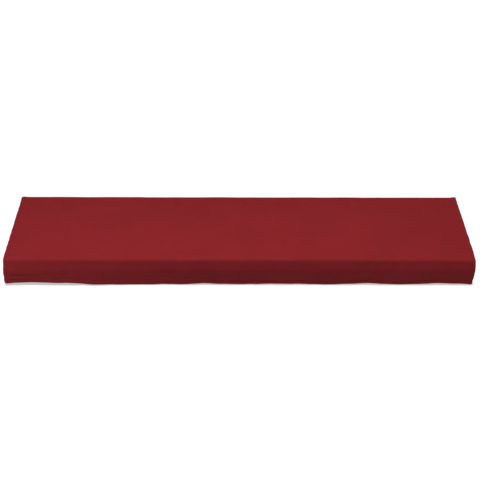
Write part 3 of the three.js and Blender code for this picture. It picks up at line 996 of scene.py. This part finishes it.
CLOTH_RED = (0.193, 0.0102, 0.0133, 1)
CLOTH_DARK = (0.0965, 0.0047, 0.0061, 1)
CLOTH_WORN = (0.202, 0.0147, 0.0182, 1)
SHEEN_TINT = (1.0, 0.40, 0.42, 1)
THREAD_DARK, THREAD_LIGHT = (0.155, 0.0085, 0.0110, 1), (0.225, 0.0150, 0.0190, 1)
THREAD_GRAIN = 900.0
WHITE = (1, 1, 1, 1)
FLOOR_DARK, FLOOR_LIGHT = (0.40, 0.40, 0.40, 1), (0.41, 0.41, 0.41, 1)
FLOOR_GLOW = 0.49                  # the floor is a pale table lit from below
WALE, COURSE = 0.62, 0.48          # width and height of a knitted loop, in mm
LOOP_SLANT = 0.45                  # how far a loop's legs climb, in courses
LOOP_RELIEF, WALE_RELIEF = 0.28, 0.6         # heights of the loops and of their upright rows
FUZZ_RELIEF = 0.4
YARN_RUN = 25                      # about how long a yarn keeps its tone, in mm
SHADES = (0.42, 0.24, 0.35, 0.5, 0.7)        # what the dye, its patches, fuzz and yarns darken, and the painted shade in the knit's hollows
SHADE_LEVEL = 0.73                 # the sum of them up to which the cloth has its lighter red
WORN, ROUGH = (0.5, 0.05), (0.12, 0.80)      # wear by patch, and roughness by fuzz: slope and start


def knit(graph, across, down):
    """Height of a close knit: upright rows of V-shaped loops."""
    wales = graph.math("FRACT", graph.math("DIVIDE", across, WALE))
    edge = graph.math("MULTIPLY", graph.math("ABSOLUTE", graph.math("SUBTRACT", wales, 0.5)), 2.0)
    loops = graph.math("MULTIPLY_ADD", edge, LOOP_SLANT, graph.math("DIVIDE", down, COURSE))
    loop = graph.math("SINE", graph.math("MULTIPLY", loops, 2 * math.pi))
    ridge = graph.math("SUBTRACT", 1.0, graph.math("POWER", edge, 3.0))
    return graph.weighed((ridge, WALE_RELIEF), (loop, LOOP_RELIEF))


def cloth_material():
    graph = Graph("cover_cloth")
    place = graph.add("ShaderNodeAttribute", attribute_name="weave").outputs["Vector"]
    split = graph.add("ShaderNodeSeparateXYZ")
    graph.put(place, split.inputs[0])
    height = knit(graph, split.outputs["X"], split.outputs["Y"])
    dye = graph.noise(scale=7.0, detail=3.0)
    patch = graph.noise(scale=46.0, detail=3.0)
    fuzz = graph.noise(scale=2600.0, roughness=0.6)
    yarns = graph.noise(scale=0.7, vector=graph.scaled(place, (1 / WALE, 1 / YARN_RUN, 0)))
    # Painted shade: the colour is darker where the knit's relief is low, standing in for shade in its
    # hollows
    painted_hollow_shade = graph.math("SUBTRACT", 1.0, height, clamp=True)
    shade = graph.weighed(*zip((dye, patch, fuzz, yarns, painted_hollow_shade), SHADES))
    shade = graph.math("SUBTRACT", shade, SHADE_LEVEL, clamp=True)
    rubbed = graph.add("ShaderNodeAttribute", attribute_name="rubbed").outputs["Fac"]
    worn = graph.math("MULTIPLY", rubbed, graph.math("MULTIPLY_ADD", patch, *WORN), clamp=True)
    drape = graph.bump(graph.noise(scale=150.0), strength=0.10, distance=0.0012)
    thready = graph.math("MULTIPLY_ADD", fuzz, FUZZ_RELIEF, height)
    return graph.surface({
        "Base Color": graph.colour_mix(worn, graph.colour_mix(shade, CLOTH_RED, CLOTH_DARK), CLOTH_WORN),
        "Roughness": graph.math("MULTIPLY_ADD", fuzz, *ROUGH),
        "Normal": graph.bump(thready, strength=0.5, distance=0.00022, normal=drape),
        "Specular IOR Level": 0.10,
        "Sheen Weight": 0.08,
        "Sheen Roughness": 0.45,
        "Sheen Tint": SHEEN_TINT,
    })


def thread_material():
    graph = Graph("cover_thread")
    twist = graph.add("ShaderNodeTexWave", wave_type="BANDS", bands_direction="DIAGONAL")
    graph.put(graph.solid, twist.inputs["Vector"])
    graph.put(THREAD_GRAIN, twist.inputs["Scale"])
    return graph.surface({
        "Base Color": graph.colour_mix(graph.noise(THREAD_GRAIN), THREAD_DARK, THREAD_LIGHT),
        "Normal": graph.bump(twist.outputs["Fac"], strength=0.4, distance=0.0001),
        "Roughness": 0.55,
        "Specular IOR Level": 0.35,
        "Sheen Weight": 0.1,
    })


def floor_material():
    graph = Graph("pale_floor")
    return graph.surface({
        "Base Color": graph.colour_mix(graph.noise(scale=3.0), FLOOR_DARK, FLOOR_LIGHT),
        "Emission Color": WHITE,
        "Emission Strength": FLOOR_GLOW,
        "Roughness": 1.0,
        "Specular IOR Level": 0.0,
    })


# ---------------- floor, light and camera

FLOOR_SIZE, FLOOR_DROP = 90.0, 0.6 * MM      # its side, and how far it lies below the solids
SUN_POWER, SUN_ANGLE, SUN_TURN = 4.15, 14, (6, -1, 0)
WORLD_LIGHT = 0.03
# Softboxes: place and aim in metres, long and short side, watts, spread in degrees
SOFTBOXES = {
    "strip": ((-0.08, -0.16, 0.95), (-0.08, -0.13, 0), (1.15, 0.2), 0.46, 44),
    "left_softbox": ((-0.88, -0.58, 0.14), (-0.55, -0.17, -0.04), (0.4, 0.16), 0.285, 90),
    "right_softbox": ((0.95, -0.56, 0.14), (0.62, -0.17, -0.04), (0.3, 0.16), 0.07, 80),
}
# The camera: place in metres, turns in radians (yaw to the right, pitch down), lens and sensor in mm
CAMERA_PLACE = (-0.02170, -2.75974, 1.69914)
CAMERA_YAW, CAMERA_PITCH, CAMERA_ROLL = 0.00858, 0.56384, 0.00605
CAMERA_LENS, CAMERA_SENSOR = 85.12, 36.0


def make_floor():
    half = FLOOR_SIZE / 2
    mesh = bpy.data.meshes.new("floor")
    corners = [(-half, -half, 0), (half, -half, 0), (half, half, 0), (-half, half, 0)]
    mesh.from_pydata(corners, [], [(0, 1, 2, 3)])
    mesh.materials.append(floor_material())
    floor = put_in("floor", mesh)
    floor.location.z = cad_low.z - FLOOR_DROP


def area_light(name, place, aim, size, power, spread):
    light = bpy.data.lights.new(name, "AREA")
    light.shape = "RECTANGLE"
    light.size, light.size_y = size
    light.energy = power
    light.spread = math.radians(spread)
    lamp = put_in(name, light)
    lamp.location = place
    lamp.rotation_euler = (Vector(aim) - Vector(place)).to_track_quat("-Z", "Y").to_euler()
    lamp.visible_camera = False


def make_light():
    sun = bpy.data.lights.new("overhead", "SUN")
    sun.energy = SUN_POWER
    sun.angle = math.radians(SUN_ANGLE)
    put_in("overhead", sun).rotation_euler = [math.radians(turn) for turn in SUN_TURN]
    for name, box in SOFTBOXES.items():
        area_light(name, *box)
    world = bpy.data.worlds.new("studio")
    world.use_nodes = True
    background = world.node_tree.nodes["Background"]
    background.inputs["Color"].default_value = WHITE
    background.inputs["Strength"].default_value = WORLD_LIGHT
    bpy.context.scene.world = world
    bpy.context.scene.view_settings.view_transform = "Standard"
    bpy.context.scene.view_settings.look = "None"


def make_camera():
    camera = bpy.data.cameras.new("camera")
    camera.lens, camera.sensor_width = CAMERA_LENS, CAMERA_SENSOR
    holder = put_in("camera", camera)
    holder.matrix_world = (
        Matrix.Translation(CAMERA_PLACE)
        @ Matrix.Rotation(-CAMERA_YAW, 4, "Z")
        @ Matrix.Rotation(math.pi / 2 - CAMERA_PITCH, 4, "X")
        @ Matrix.Rotation(CAMERA_ROLL, 4, "Z")
    )
    bpy.context.scene.camera = holder


# ---------------- the scene

cloth, thread = cloth_material(), thread_material()

main_cloth, main_stitches = long_piece(cloth, thread)
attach(main_cloth, "root")
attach(main_stitches, "root")
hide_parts("main_panel")

for side, word in ((-1, "left"), (1, "right")):
    end_cloth, end_stitches = end_piece(side, word, cloth, thread)
    loops = overlock(side, word, thread)
    for piece in (end_cloth, end_stitches, loops):
        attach(piece, "root")
    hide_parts(f"end_panel_{word}")

make_floor()
make_light()
make_camera()
